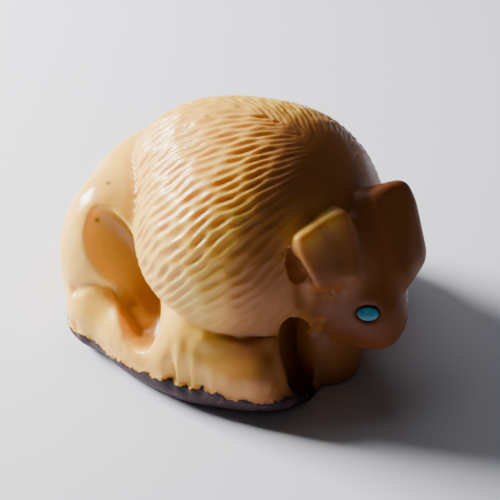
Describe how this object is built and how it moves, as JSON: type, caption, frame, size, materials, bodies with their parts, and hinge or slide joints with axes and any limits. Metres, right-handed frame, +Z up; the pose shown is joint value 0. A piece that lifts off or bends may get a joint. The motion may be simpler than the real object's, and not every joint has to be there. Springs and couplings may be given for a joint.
{
  "type": "zuni fetish carving",
  "caption": "Small lying bison carved in the round from one tagua nut, with grooved mane, dark skin round the base and inlaid stone eyes.",
  "frame": {"origin": "middle of the flat underside", "axes": "+X from the rump to the head, +Y to the animal's left, +Z up"},
  "size_m": [0.0451, 0.0396, 0.0303],
  "materials": {
    "nut": "polished cream to amber nut flesh, with dark purplish brown skin left round the foot",
    "stone": "polished turquoise"
  },
  "bodies": {
    "root": {"bison_carving": "nut", "eye_inlay_right": "stone", "eye_inlay_left": "stone"}
  },
  "joints": []
}
